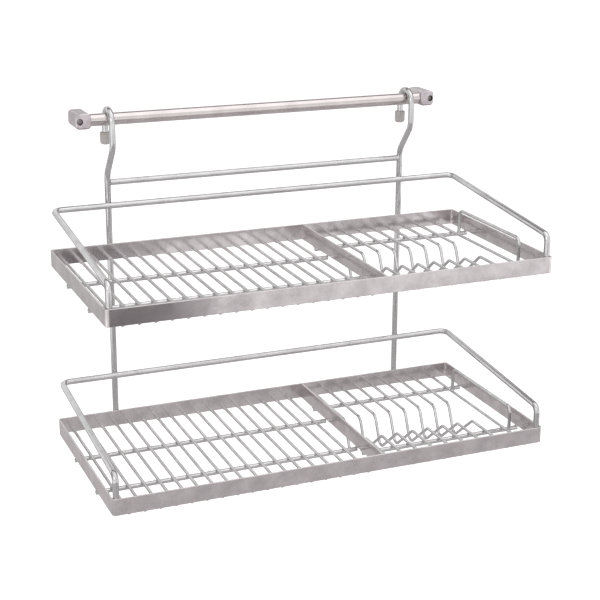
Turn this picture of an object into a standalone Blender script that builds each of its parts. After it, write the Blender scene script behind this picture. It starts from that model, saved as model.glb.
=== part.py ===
# Wall-mounted two-tier dish rack: a round rail on two wall brackets, with a welded wire rack hung on it.
# Metres, +Z up. The wall is the plane Y = 0 and the rack stands out of it towards -Y.
# The origin is the middle of the left bracket's face on the wall, level with the rail's axis.

import math

import bmesh
import bpy
from mathutils import Matrix, Vector

# Gap left between pieces that touch
SEAT_GAP = 0.0003

# Rail and wall brackets
RAIL_DIAMETER = 0.016
RAIL_WALL = 0.0012
RAIL_STANDOFF = 0.030
BRACKET_SIDE = 0.020
BRACKET_NOSE = 0.010
BRACKET_CORNER_RADIUS = 0.005
BRACKET_EDGE_RADIUS = 0.0020
SOCKET_DEPTH = 0.0085
SOCKET_CLEARANCE = 0.0003
SCREW_OFFSET = 0.0046
SCREW_SHANK_DIAMETER = 0.0040
SCREW_HEAD_DIAMETER = 0.0076
SCREW_HEAD_HEIGHT = 0.0028
SCREW_HOLE_CLEARANCE = 0.0005
SCREW_HEAD_CLEARANCE = 0.0004
SCREW_RECESS_DEPTH = 0.0060
DRIVE_SLOT_LENGTH = 0.0044
DRIVE_SLOT_WIDTH = 0.0010
DRIVE_SLOT_DEPTH = 0.0016

# Hooks, uprights and crossbar
UPRIGHT_DIAMETER = 0.008
HOOK_RADIUS = 0.017
HOOK_TAIL_DROP = 0.031
JOG_TOP_DROP = 0.036
JOG_BOTTOM_DROP = 0.075
JOG_RADIUS = 0.022
LOWER_END_DROP = 0.015
LOWER_END_RADIUS = 0.007
CROSSBAR_DIAMETER = 0.008
CROSSBAR_DROP = 0.086

# Caps on the wire ends
TIP_DIAMETER = 0.014
TIP_LENGTH = 0.016
TIP_BORE_DEPTH = 0.0115
TIP_EDGE_RADIUS = 0.004
BUFFER_DIAMETER = 0.014
BUFFER_LENGTH = 0.008
BUFFER_BORE_DEPTH = 0.0050
BUFFER_EDGE_RADIUS = 0.0015

# Shelves, and how far in from a shelf's ends the brackets and uprights stand
SHELF_WIDTH = 0.590
SHELF_DEPTH = 0.2690
LEFT_BRACKET_INSET = 0.0465
RIGHT_BRACKET_INSET = 0.0578
LEFT_UPRIGHT_INSET = 0.0810
RIGHT_UPRIGHT_INSET = 0.0860
SHELF_WALL_GAP = 0.0195
LOWER_SHELF_DROP = 0.403
SHELF_PITCH = 0.236
RIM_HEIGHT = 0.0217
RIM_THICKNESS = 0.002
RIM_CORNER_RADIUS = 0.005
RIM_EDGE_BEVEL = 0.0004
DIVIDER_THICKNESS = 0.0025
DIVIDER_PLACE_SHARE = 0.60153

# Floor wires of the drainer side, spaced evenly between a gap at the rim and one at the divider; a front
# bar is measured back from the shelf's front and a rear bar forward from its rear
FLOOR_WIRE_DIAMETER = 0.004
BAR_DIAMETER = 0.006
WELD_SINK = 0.0005
GRID_WIRE_COUNT = 17
GRID_RIM_GAP = 0.0207
GRID_DIVIDER_GAP = 0.0196
GRID_FRONT_BAR_OFFSET = 0.079
GRID_REAR_BAR_GAP = 0.087

# Bent wires of the plate side, spaced evenly from the divider on, with the straight end wire a little
# farther out; offsets are measured back from the shelf's front, and the rear bar forward from its rear
PLATE_WIRE_COUNT = 8
PLATE_DIVIDER_GAP = 0.0210
PLATE_END_GAP = 0.0276
PLATE_RIM_GAP = 0.0246
PLATE_FRONT_BAR_OFFSET = 0.063
PLATE_REAR_BAR_GAP = 0.043
TROUGH_FRONT_OFFSET = 0.0950
TROUGH_BOTTOM_OFFSET = 0.1450
TROUGH_REAR_OFFSET = 0.1640
TROUGH_DEPTH = 0.0414
TROUGH_FRONT_RADIUS = 0.006
TROUGH_BOTTOM_RADIUS = 0.008
TROUGH_REAR_RADIUS = 0.012

# Plate fence
FENCE_DIAMETER = 0.0045
FENCE_FRONT_OFFSET = 0.0442
FENCE_LENGTH = 0.1593
FENCE_RISE = 0.0155
FENCE_BEND_RADIUS = 0.009

# Guard wire round the sides and back of a shelf
GUARD_DIAMETER = 0.008
GUARD_FRONT_RISE = 0.0275
GUARD_REAR_RISE = 0.0520
GUARD_FRONT_RADIUS = 0.010
GUARD_REAR_RADIUS = 0.011
GUARD_FOOT_DEPTH = 0.018

# Facets
BEND_STEPS = 4
THIN_WIRE_FACET_TURN = math.radians(19)
THICK_WIRE_FACET_TURN = math.radians(15)
THIN_WIRE_BEVEL_COUNT = 2
THICK_WIRE_BEVEL_COUNT = 3
GRID_WIRE_SIDES = 8
RAIL_SIDES = 32
SMALL_ROUND_SIDES = 20
CORNER_STEPS = 4
ROUND_PROFILE_SHARE = 0.5
SMOOTH_ANGLE = math.radians(40)

# How far a cutter runs past what it cuts, and the distance under which two path points are one
CUT_OVERRUN = 0.002
MERGE_DISTANCE = 0.00001

# Places worked out from the sizes above
RAIL_RADIUS = RAIL_DIAMETER / 2
UPRIGHT_RADIUS = UPRIGHT_DIAMETER / 2
FLOOR_WIRE_RADIUS = FLOOR_WIRE_DIAMETER / 2
BAR_RADIUS = BAR_DIAMETER / 2
GUARD_RADIUS = GUARD_DIAMETER / 2
FENCE_WIRE_RADIUS = FENCE_DIAMETER / 2

SHELF_LEFT_X = -LEFT_BRACKET_INSET
BRACKET_SPACING = SHELF_WIDTH - LEFT_BRACKET_INSET - RIGHT_BRACKET_INSET
LEFT_UPRIGHT_X = SHELF_LEFT_X + LEFT_UPRIGHT_INSET
UPRIGHT_SPACING = SHELF_WIDTH - LEFT_UPRIGHT_INSET - RIGHT_UPRIGHT_INSET

RAIL_Y = -RAIL_STANDOFF
BRACKET_LENGTH = RAIL_STANDOFF + BRACKET_NOSE
HOOK_TOP_Z = RAIL_RADIUS + SEAT_GAP + UPRIGHT_RADIUS
HOOK_TAIL_Y = RAIL_Y + HOOK_RADIUS
HOOK_FRONT_Y = RAIL_Y - HOOK_RADIUS
SHELF_REAR_Y = -SHELF_WALL_GAP
SHELF_FRONT_Y = SHELF_REAR_Y - SHELF_DEPTH
UPRIGHT_Y = SHELF_REAR_Y + SEAT_GAP + UPRIGHT_RADIUS
UPPER_SHELF_DROP = LOWER_SHELF_DROP - SHELF_PITCH
LOWER_END_Z = -LOWER_SHELF_DROP - LOWER_END_DROP

# Places across a shelf, measured from its left end, and along its depth, measured from its front
DIVIDER_OFFSET = SHELF_WIDTH * DIVIDER_PLACE_SHARE
GRID_PITCH = (DIVIDER_OFFSET - GRID_RIM_GAP - GRID_DIVIDER_GAP) / (GRID_WIRE_COUNT - 1)
PLATE_FIRST_OFFSET = DIVIDER_OFFSET + PLATE_DIVIDER_GAP
PLATE_END_OFFSET = SHELF_WIDTH - PLATE_RIM_GAP
PLATE_PITCH = (PLATE_END_OFFSET - PLATE_END_GAP - PLATE_FIRST_OFFSET) / (PLATE_WIRE_COUNT - 1)
GRID_REAR_BAR_OFFSET = SHELF_DEPTH - GRID_REAR_BAR_GAP
PLATE_REAR_BAR_OFFSET = SHELF_DEPTH - PLATE_REAR_BAR_GAP

# Heights below a shelf's top edge
BAR_Z = -RIM_HEIGHT - SEAT_GAP - BAR_RADIUS
GRID_WIRE_Z = BAR_Z + BAR_RADIUS + FLOOR_WIRE_RADIUS - WELD_SINK
PLATE_WIRE_Z = BAR_Z + BAR_RADIUS + FLOOR_WIRE_RADIUS + SEAT_GAP

# Where the wires and the divider start and end, just inside a shelf's rim
WIRE_START_Y = RIM_THICKNESS + SEAT_GAP
WIRE_END_Y = SHELF_DEPTH - RIM_THICKNESS - SEAT_GAP


def clear_scene():
    for thing in list(bpy.data.objects):
        bpy.data.objects.remove(thing, do_unlink=True)


def make_material(name, colour, metallic, roughness):
    material = bpy.data.materials.new(name)
    material.use_nodes = True
    shader = material.node_tree.nodes["Principled BSDF"]
    shader.inputs["Base Color"].default_value = (*colour, 1.0)
    shader.inputs["Metallic"].default_value = metallic
    shader.inputs["Roughness"].default_value = roughness
    material.diffuse_color = (*colour, 1.0)
    return material


def make_empty(name, location, parent=None):
    empty = bpy.data.objects.new(name, None)
    bpy.context.scene.collection.objects.link(empty)
    empty.location = location
    empty.parent = parent
    return empty


def place(thing, material, location, parent):
    bpy.context.scene.collection.objects.link(thing)
    thing.data.materials.append(material)
    thing.location = location
    thing.parent = parent
    return thing


def mesh_object(name, bm, material, location, parent=None):
    bmesh.ops.recalc_face_normals(bm, faces=bm.faces)
    mesh = bpy.data.meshes.new(name)
    bm.to_mesh(mesh)
    bm.free()
    mesh.shade_smooth()
    mesh.set_sharp_from_angle(angle=SMOOTH_ANGLE)
    return place(bpy.data.objects.new(name, mesh), material, location, parent)


def bent_path(corners, radii, facet_turn):
    # A polyline whose inner corners are rounded by arcs, each of its own radius
    points = [Vector(corners[0])]
    for index in range(1, len(corners) - 1):
        corner = Vector(corners[index])
        back = (Vector(corners[index - 1]) - corner).normalized()
        ahead = (Vector(corners[index + 1]) - corner).normalized()
        half_angle = back.angle(ahead) / 2
        radius = radii[index - 1]
        centre = corner + (back + ahead).normalized() * (radius / math.sin(half_angle))
        start = corner + back * (radius / math.tan(half_angle)) - centre
        turn_axis = ahead.cross(back).normalized()
        turn = math.pi - 2 * half_angle
        steps = math.ceil(turn / facet_turn)
        for step in range(steps + 1):
            spoke = Matrix.Rotation(turn * step / steps, 3, turn_axis) @ start
            points.append(centre + spoke)
    points.append(Vector(corners[-1]))
    kept = [points[0]]
    for point in points[1:]:
        if (point - kept[-1]).length > MERGE_DISTANCE:
            kept.append(point)
    return kept


def wire_object(name, points, radius, bevel_count, material, location, parent):
    curve = bpy.data.curves.new(name, "CURVE")
    curve.dimensions = "3D"
    curve.bevel_depth = radius
    curve.bevel_resolution = bevel_count
    curve.use_fill_caps = True
    spline = curve.splines.new("POLY")
    spline.points.add(len(points[1:]))
    for slot, point in zip(spline.points, points):
        slot.co = (*point, 1.0)
    spline.use_smooth = True
    return place(bpy.data.objects.new(name, curve), material, location, parent)


def add_rod(bm, start, end, radius, sides):
    # A straight round rod with flat ends, added to a mesh
    axis = Vector(end) - Vector(start)
    turn = axis.to_track_quat("Z", "Y").to_matrix().to_4x4()
    middle = Matrix.Translation((Vector(start) + Vector(end)) / 2)
    bmesh.ops.create_cone(
        bm, cap_ends=True, segments=sides, radius1=radius, radius2=radius,
        depth=axis.length, matrix=middle @ turn,
    )


def add_prism(bm, outline, direction):
    # A flat outline drawn along a direction into a closed solid
    floor = [bm.verts.new(point) for point in outline]
    face = bm.faces.new(floor)
    drawn = bmesh.ops.extrude_face_region(bm, geom=[face])
    moved = [part for part in drawn["geom"] if isinstance(part, bmesh.types.BMVert)]
    bmesh.ops.translate(bm, verts=moved, vec=direction)


def turned_mesh(profile, sides):
    # A closed profile of (radius, height) points turned round Z; points on the axis close the solid
    bm = bmesh.new()
    rings = []
    for radius, height in profile:
        if radius < MERGE_DISTANCE:
            rings.append([bm.verts.new((0, 0, height))])
            continue
        ring = []
        for side in range(sides):
            angle = math.tau * side / sides
            ring.append(bm.verts.new((radius * math.cos(angle), radius * math.sin(angle), height)))
        rings.append(ring)
    for lower, upper in zip(rings, rings[1:]):
        for side in range(sides):
            following = (side + 1) % sides
            corners = [lower[side % len(lower)], lower[following % len(lower)]]
            corners += [upper[following % len(upper)], upper[side % len(upper)]]
            bm.faces.new(list(dict.fromkeys(corners)))
    return bm


def rounded_rectangle(width, height, radius, steps):
    # Corner points of a centred rectangle with round corners, anticlockwise
    points = []
    for quarter, (across, up) in enumerate(((1, 1), (-1, 1), (-1, -1), (1, -1))):
        centre_x = across * (width / 2 - radius)
        centre_y = up * (height / 2 - radius)
        for step in range(steps + 1):
            angle = math.pi / 2 * (quarter + step / steps)
            points.append((centre_x + radius * math.cos(angle), centre_y + radius * math.sin(angle)))
    return points


def make_cutter(name, bm, location, parent=None):
    bmesh.ops.recalc_face_normals(bm, faces=bm.faces)
    mesh = bpy.data.meshes.new(name)
    bm.to_mesh(mesh)
    bm.free()
    cutter = bpy.data.objects.new(name, mesh)
    bpy.context.scene.collection.objects.link(cutter)
    cutter.location = location
    cutter.parent = parent
    cutter.hide_render = True
    cutter.display_type = "WIRE"
    return cutter


def boolean(target, other, operation):
    modifier = target.modifiers.new(other.name, "BOOLEAN")
    modifier.operation = operation
    modifier.object = other
    modifier.solver = "EXACT"


# Rail: a thin steel tube whose ends sit in the two brackets' side sockets
def build_rail(material):
    inner_half = BRACKET_SIDE / 2 - SOCKET_DEPTH + SEAT_GAP
    length = BRACKET_SPACING - 2 * inner_half
    inner_radius = RAIL_RADIUS - RAIL_WALL
    profile = [(RAIL_RADIUS, 0), (RAIL_RADIUS, length), (inner_radius, length), (inner_radius, 0)]
    bm = turned_mesh(profile + profile[:1], RAIL_SIDES)
    bmesh.ops.remove_doubles(bm, verts=bm.verts, dist=MERGE_DISTANCE)
    bmesh.ops.rotate(bm, verts=bm.verts, matrix=Matrix.Rotation(math.pi / 2, 3, "Y"))
    mesh_object("rail_tube", bm, material, (inner_half, RAIL_Y, 0))


# Bracket: a cast block with round corners, a side socket for the rail and a stepped hole for its screw
def build_bracket(name, centre_x, inward, material):
    outline = rounded_rectangle(BRACKET_SIDE, BRACKET_SIDE, BRACKET_CORNER_RADIUS, CORNER_STEPS)
    bm = bmesh.new()
    add_prism(bm, [(x, 0, z) for x, z in outline], (0, -BRACKET_LENGTH, 0))
    front_edges = [edge for edge in bm.edges if all(vert.co.y < -RAIL_STANDOFF for vert in edge.verts)]
    bmesh.ops.bevel(
        bm, geom=front_edges, offset=BRACKET_EDGE_RADIUS, segments=CORNER_STEPS - 1,
        profile=ROUND_PROFILE_SHARE, affect="EDGES", clamp_overlap=True,
    )
    bracket = mesh_object(name, bm, material, (centre_x, 0, 0))

    socket = bmesh.new()
    floor_x = inward * (BRACKET_SIDE / 2 - SOCKET_DEPTH)
    mouth_x = inward * (BRACKET_SIDE / 2 + CUT_OVERRUN)
    add_rod(socket, (floor_x, RAIL_Y, 0), (mouth_x, RAIL_Y, 0), RAIL_RADIUS + SOCKET_CLEARANCE, RAIL_SIDES)
    boolean(bracket, make_cutter(name + "_socket", socket, (centre_x, 0, 0)), "DIFFERENCE")

    hole = bmesh.new()
    screw_x = -inward * SCREW_OFFSET
    shank_radius = SCREW_SHANK_DIAMETER / 2 + SCREW_HOLE_CLEARANCE
    add_rod(
        hole, (screw_x, CUT_OVERRUN, 0), (screw_x, -BRACKET_LENGTH - CUT_OVERRUN, 0),
        shank_radius, SMALL_ROUND_SIDES,
    )
    boolean(bracket, make_cutter(name + "_screw_hole", hole, (centre_x, 0, 0)), "DIFFERENCE")

    recess = bmesh.new()
    head_radius = SCREW_HEAD_DIAMETER / 2 + SCREW_HEAD_CLEARANCE
    add_rod(
        recess, (screw_x, -BRACKET_LENGTH + SCREW_RECESS_DEPTH, 0),
        (screw_x, -BRACKET_LENGTH - CUT_OVERRUN, 0), head_radius, SMALL_ROUND_SIDES,
    )
    boolean(bracket, make_cutter(name + "_screw_recess", recess, (centre_x, 0, 0)), "DIFFERENCE")


# Wall screw: a low round head with a cross recess, sunk in the bracket's front, on a plain shank that
# stops at the wall's face
def build_wall_screw(name, centre_x, inward, material):
    head_radius = SCREW_HEAD_DIAMETER / 2
    shank_radius = SCREW_SHANK_DIAMETER / 2
    seat = BRACKET_LENGTH - SCREW_RECESS_DEPTH + SEAT_GAP
    crown = seat + SCREW_HEAD_HEIGHT
    profile = [(0, 0), (shank_radius, 0), (shank_radius, seat), (head_radius, seat)]
    dome_height = SCREW_HEAD_HEIGHT / 2
    for step in range(BEND_STEPS + 1):
        angle = math.pi / 2 * step / BEND_STEPS
        radius = head_radius * math.cos(angle)
        profile.append((radius, crown - dome_height + dome_height * math.sin(angle)))
    bm = turned_mesh(profile, SMALL_ROUND_SIDES)
    bmesh.ops.rotate(bm, verts=bm.verts, matrix=Matrix.Rotation(math.pi / 2, 3, "X"))
    screw = mesh_object(name, bm, material, (centre_x - inward * SCREW_OFFSET, 0, 0))

    for label, turn in (("slot", 0), ("cross_slot", math.pi / 2)):
        slot = bmesh.new()
        size = (DRIVE_SLOT_LENGTH, DRIVE_SLOT_DEPTH + CUT_OVERRUN, DRIVE_SLOT_WIDTH)
        spin = Matrix.Rotation(turn, 4, "Y")
        bmesh.ops.create_cube(slot, size=1, matrix=spin @ Matrix.Diagonal((*size, 1)))
        centre_y = -(crown - DRIVE_SLOT_DEPTH + size[1] / 2)
        cutter = make_cutter(name + "_" + label, slot, (0, centre_y, 0), screw)
        boolean(screw, cutter, "DIFFERENCE")


# Upright: one bent wire that hooks over the rail, steps back towards the wall and ends in a short
# turned-back foot behind the lower shelf
def build_upright(name, x, material, rack):
    corners = [
        (0, HOOK_TAIL_Y, -HOOK_TAIL_DROP),
        (0, HOOK_TAIL_Y, HOOK_TOP_Z),
        (0, HOOK_FRONT_Y, HOOK_TOP_Z),
        (0, HOOK_FRONT_Y, -JOG_TOP_DROP),
        (0, UPRIGHT_Y, -JOG_BOTTOM_DROP),
        (0, UPRIGHT_Y, LOWER_END_Z),
        (0, -(BUFFER_LENGTH - BUFFER_BORE_DEPTH + SEAT_GAP), LOWER_END_Z),
    ]
    radii = (HOOK_RADIUS, HOOK_RADIUS, JOG_RADIUS, JOG_RADIUS, LOWER_END_RADIUS)
    points = bent_path(corners, radii, THICK_WIRE_FACET_TURN)
    shifted = [point - Vector((0, RAIL_Y, 0)) for point in points]
    wire_object(name, shifted, UPRIGHT_RADIUS, THICK_WIRE_BEVEL_COUNT, material, (x, 0, 0), rack)


# Cap: a moulded round cap with a blind bore that is pushed over a wire's end, drawn with its mouth up
def cap_mesh(diameter, length, bore_depth, edge_radius):
    bore_radius = UPRIGHT_RADIUS + SEAT_GAP
    outer = diameter / 2
    profile = [(0, 0)]
    for step in range(BEND_STEPS + 1):
        angle = math.pi / 2 * step / BEND_STEPS
        radius = outer - edge_radius + edge_radius * math.sin(angle)
        profile.append((radius, edge_radius - edge_radius * math.cos(angle)))
    profile += [(outer, length), (bore_radius, length), (bore_radius, length - bore_depth)]
    profile.append((0, length - bore_depth))
    return turned_mesh(profile, SMALL_ROUND_SIDES)


def build_hook_tip(name, x, material, rack):
    floor_z = -HOOK_TAIL_DROP - SEAT_GAP - (TIP_LENGTH - TIP_BORE_DEPTH)
    bm = cap_mesh(TIP_DIAMETER, TIP_LENGTH, TIP_BORE_DEPTH, TIP_EDGE_RADIUS)
    mesh_object(name, bm, material, (x, HOOK_RADIUS, floor_z), rack)


def build_wall_buffer(name, x, material, rack):
    bm = cap_mesh(BUFFER_DIAMETER, BUFFER_LENGTH, BUFFER_BORE_DEPTH, BUFFER_EDGE_RADIUS)
    bmesh.ops.rotate(bm, verts=bm.verts, matrix=Matrix.Rotation(math.pi / 2, 3, "X"))
    mesh_object(name, bm, material, (x, -RAIL_Y, LOWER_END_Z), rack)


# Crossbar: a straight wire welded between the uprights, just above the upper shelf
def build_crossbar(material, rack):
    reach = UPRIGHT_SPACING - 2 * (UPRIGHT_RADIUS + SEAT_GAP)
    points = [(0, 0, 0), (reach, 0, 0)]
    start = (LEFT_UPRIGHT_X + UPRIGHT_RADIUS + SEAT_GAP, UPRIGHT_Y - RAIL_Y, -CROSSBAR_DROP)
    wire_object("crossbar", points, CROSSBAR_DIAMETER / 2, THICK_WIRE_BEVEL_COUNT, material, start, rack)


# Rim: one flat strip on edge, bent round four corners and butt welded
def build_rim(prefix, material, shelf):
    outer = rounded_rectangle(SHELF_WIDTH, SHELF_DEPTH, RIM_CORNER_RADIUS, CORNER_STEPS)
    inner = rounded_rectangle(
        SHELF_WIDTH - 2 * RIM_THICKNESS, SHELF_DEPTH - 2 * RIM_THICKNESS,
        RIM_CORNER_RADIUS - RIM_THICKNESS, CORNER_STEPS,
    )
    # The strip's section goes round: outside up, across the top edge, inside down, across the bottom
    section = (
        (0, -RIM_HEIGHT + RIM_EDGE_BEVEL), (0, -RIM_EDGE_BEVEL), (RIM_EDGE_BEVEL, 0),
        (RIM_THICKNESS - RIM_EDGE_BEVEL, 0), (RIM_THICKNESS, -RIM_EDGE_BEVEL),
        (RIM_THICKNESS, -RIM_HEIGHT + RIM_EDGE_BEVEL), (RIM_THICKNESS - RIM_EDGE_BEVEL, -RIM_HEIGHT),
        (RIM_EDGE_BEVEL, -RIM_HEIGHT),
    )
    bm = bmesh.new()
    rings = []
    for (outer_x, outer_y), (inner_x, inner_y) in zip(outer, inner):
        ring = []
        for inset, height in section:
            share = inset / RIM_THICKNESS
            x = outer_x + (inner_x - outer_x) * share
            y = outer_y + (inner_y - outer_y) * share
            ring.append(bm.verts.new((x, y, height)))
        rings.append(ring)
    for index, ring in enumerate(rings):
        following = rings[(index + 1) % len(rings)]
        for side in range(len(section)):
            beside = (side + 1) % len(section)
            bm.faces.new((ring[side], following[side], following[beside], ring[beside]))
    mesh_object(prefix + "rim_band", bm, material, (SHELF_WIDTH / 2, SHELF_DEPTH / 2, 0), shelf)


# Divider: a straight flat strip on edge between the drainer side and the plate side
def build_divider(prefix, material, shelf):
    outline = rounded_rectangle(DIVIDER_THICKNESS, RIM_HEIGHT, RIM_EDGE_BEVEL, 1)
    bm = bmesh.new()
    add_prism(bm, [(x, 0, z) for x, z in outline], (0, WIRE_END_Y - WIRE_START_Y, 0))
    location = (DIVIDER_OFFSET, WIRE_START_Y, -RIM_HEIGHT / 2)
    mesh_object(prefix + "divider_strip", bm, material, location, shelf)


# Drainer grid: a welded mat of thin wires, front to back, on two long bars that run under the rim
def build_drainer_grid(prefix, material, shelf):
    wires = bmesh.new()
    for index in range(GRID_WIRE_COUNT):
        x = GRID_RIM_GAP + index * GRID_PITCH
        add_rod(wires, (x, WIRE_START_Y, GRID_WIRE_Z), (x, WIRE_END_Y, GRID_WIRE_Z),
                FLOOR_WIRE_RADIUS, GRID_WIRE_SIDES)
    grid = mesh_object(prefix + "drainer_grid", wires, material, (0, 0, 0), shelf)
    for label, offset in (("front_bar", GRID_FRONT_BAR_OFFSET), ("rear_bar", GRID_REAR_BAR_OFFSET)):
        bar = bmesh.new()
        add_rod(bar, (0, offset, BAR_Z), (DIVIDER_OFFSET, offset, BAR_Z), BAR_RADIUS, GRID_WIRE_SIDES)
        boolean(grid, make_cutter(prefix + "grid_" + label, bar, (0, 0, 0), shelf), "UNION")


# Plate side: wires bent down into a trough that takes the plates' lower edge, on two bars of their own
def build_plate_wires(prefix, material, shelf):
    corners = (
        (0, WIRE_START_Y, 0),
        (0, TROUGH_FRONT_OFFSET, 0),
        (0, TROUGH_BOTTOM_OFFSET, -TROUGH_DEPTH),
        (0, TROUGH_REAR_OFFSET, 0),
        (0, WIRE_END_Y, 0),
    )
    radii = (TROUGH_FRONT_RADIUS, TROUGH_BOTTOM_RADIUS, TROUGH_REAR_RADIUS)
    bent = bent_path(corners, radii, THIN_WIRE_FACET_TURN)
    for index in range(PLATE_WIRE_COUNT):
        location = (PLATE_FIRST_OFFSET + index * PLATE_PITCH, 0, PLATE_WIRE_Z)
        name = prefix + "plate_wire_" + str(index + 1)
        wire_object(name, bent, FLOOR_WIRE_RADIUS, THIN_WIRE_BEVEL_COUNT, material, location, shelf)

    straight = (corners[0], corners[-1])
    wire_object(prefix + "plate_end_wire", straight, FLOOR_WIRE_RADIUS, THIN_WIRE_BEVEL_COUNT, material,
                (PLATE_END_OFFSET, 0, PLATE_WIRE_Z), shelf)

    bar_start = DIVIDER_OFFSET + SEAT_GAP
    bar_ends = ((0, 0, 0), (SHELF_WIDTH - bar_start, 0, 0))
    for label, offset in (("front", PLATE_FRONT_BAR_OFFSET), ("rear", PLATE_REAR_BAR_OFFSET)):
        wire_object(prefix + "plate_" + label + "_bar", bar_ends, BAR_RADIUS, THIN_WIRE_BEVEL_COUNT, material,
                    (bar_start, offset, BAR_Z), shelf)


# Plate fence: an upside-down U of wire that stands on the end wire beside the last plate
def build_plate_fence(prefix, material, shelf):
    foot_z = PLATE_WIRE_Z + FLOOR_WIRE_RADIUS + SEAT_GAP
    corners = (
        (0, 0, foot_z), (0, 0, FENCE_RISE), (0, FENCE_LENGTH, FENCE_RISE), (0, FENCE_LENGTH, foot_z),
    )
    points = bent_path(corners, (FENCE_BEND_RADIUS, FENCE_BEND_RADIUS), THIN_WIRE_FACET_TURN)
    location = (PLATE_END_OFFSET, FENCE_FRONT_OFFSET, 0)
    wire_object(prefix + "plate_fence", points, FENCE_WIRE_RADIUS, THIN_WIRE_BEVEL_COUNT, material,
                location, shelf)


# Guard: a thick wire that stands in the rim's front corners, climbs along both sides and crosses the
# back in front of the uprights
def build_guard(prefix, material, shelf):
    inset = RIM_THICKNESS + SEAT_GAP + GUARD_RADIUS
    rear = SHELF_DEPTH - GUARD_RADIUS
    right = SHELF_WIDTH - inset
    corners = (
        (inset, inset, -GUARD_FOOT_DEPTH), (inset, inset, GUARD_FRONT_RISE),
        (inset, rear, GUARD_REAR_RISE), (right, rear, GUARD_REAR_RISE),
        (right, inset, GUARD_FRONT_RISE), (right, inset, -GUARD_FOOT_DEPTH),
    )
    radii = (GUARD_FRONT_RADIUS, GUARD_REAR_RADIUS, GUARD_REAR_RADIUS, GUARD_FRONT_RADIUS)
    points = bent_path(corners, radii, THICK_WIRE_FACET_TURN)
    wire_object(prefix + "guard_wire", points, GUARD_RADIUS, THICK_WIRE_BEVEL_COUNT, material,
                (0, 0, 0), shelf)


def build_shelf(prefix, drop, wire_steel, strip_steel, rack):
    shelf = make_empty(prefix + "shelf", (SHELF_LEFT_X, SHELF_FRONT_Y - RAIL_Y, -drop), rack)
    build_rim(prefix, strip_steel, shelf)
    build_divider(prefix, strip_steel, shelf)
    build_drainer_grid(prefix, wire_steel, shelf)
    build_plate_wires(prefix, wire_steel, shelf)
    build_plate_fence(prefix, wire_steel, shelf)
    build_guard(prefix, wire_steel, shelf)


def build():
    clear_scene()
    tube_chrome = make_material("polished_tube", (0.72, 0.69, 0.69), 1.0, 0.16)
    cast_chrome = make_material("polished_casting", (0.70, 0.67, 0.68), 1.0, 0.22)
    screw_steel = make_material("screw_steel", (0.38, 0.36, 0.36), 1.0, 0.35)
    wire_steel = make_material("polished_wire", (0.66, 0.64, 0.64), 1.0, 0.24)
    strip_steel = make_material("polished_strip", (0.68, 0.65, 0.66), 1.0, 0.28)
    cap_rubber = make_material("grey_cap", (0.36, 0.35, 0.34), 0.0, 0.45)

    build_rail(tube_chrome)
    for side, centre_x, inward in (("left_", 0, 1), ("right_", BRACKET_SPACING, -1)):
        build_bracket(side + "rail_bracket", centre_x, inward, cast_chrome)
        build_wall_screw(side + "wall_screw", centre_x, inward, screw_steel)

    # Everything below hangs on the rail and swings round its axis
    rack = make_empty("rack_on_rail", (0, RAIL_Y, 0))
    for side, x in (("left_", LEFT_UPRIGHT_X), ("right_", LEFT_UPRIGHT_X + UPRIGHT_SPACING)):
        build_upright(side + "upright", x, wire_steel, rack)
        build_hook_tip(side + "hook_tip", x, cap_rubber, rack)
        build_wall_buffer(side + "wall_buffer", x, cap_rubber, rack)
    build_crossbar(wire_steel, rack)
    for prefix, drop in (("upper_", UPPER_SHELF_DROP), ("lower_", LOWER_SHELF_DROP)):
        build_shelf(prefix, drop, wire_steel, strip_steel, rack)


build()
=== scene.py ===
# Wall-mounted dish rack of chrome-plated steel wire: a round rail on two wall brackets, and a rack of two
# like shelves that hooks over it. Metres, +Z up. The wall is Y = 0 and the rack stands out towards -Y.

import math
import random

import bmesh
import bpy
from mathutils import Matrix, Vector, noise


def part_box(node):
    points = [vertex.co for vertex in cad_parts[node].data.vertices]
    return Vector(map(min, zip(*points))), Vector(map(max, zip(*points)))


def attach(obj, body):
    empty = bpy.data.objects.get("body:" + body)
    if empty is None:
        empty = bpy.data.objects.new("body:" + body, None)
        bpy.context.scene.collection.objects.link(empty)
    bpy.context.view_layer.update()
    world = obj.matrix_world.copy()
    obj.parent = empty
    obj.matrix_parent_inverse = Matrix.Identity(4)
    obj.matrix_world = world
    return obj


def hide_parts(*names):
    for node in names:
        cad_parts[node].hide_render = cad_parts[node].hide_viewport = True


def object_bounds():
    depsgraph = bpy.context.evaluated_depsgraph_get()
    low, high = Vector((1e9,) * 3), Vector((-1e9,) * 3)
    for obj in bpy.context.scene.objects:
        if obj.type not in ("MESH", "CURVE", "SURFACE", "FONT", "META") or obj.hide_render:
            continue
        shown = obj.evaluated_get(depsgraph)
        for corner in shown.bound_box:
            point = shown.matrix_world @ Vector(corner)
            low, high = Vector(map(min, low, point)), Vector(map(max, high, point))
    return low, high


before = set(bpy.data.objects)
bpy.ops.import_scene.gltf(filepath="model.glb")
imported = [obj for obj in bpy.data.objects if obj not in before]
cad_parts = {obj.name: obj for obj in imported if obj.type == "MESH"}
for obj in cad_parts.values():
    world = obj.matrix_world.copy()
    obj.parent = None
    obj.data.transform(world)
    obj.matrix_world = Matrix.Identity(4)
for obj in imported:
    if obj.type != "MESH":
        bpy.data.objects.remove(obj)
cad_low, cad_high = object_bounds()

# Camera: it stands where the photograph was taken from, a little above the rack and to its left. Place,
# angles and lens were fitted to the rack's outlines, and the roll is a third of a degree.
CAMERA_PLACE = Vector((-0.4335, -1.7749, 0.3367))
CAMERA_AZIMUTH = math.radians(-22.822)
CAMERA_ELEVATION = math.radians(17.875)
CAMERA_ROLL = math.radians(0.352)
CAMERA_LENS_MM = 85.21
CAMERA_SENSOR_MM = 36.0

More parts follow.
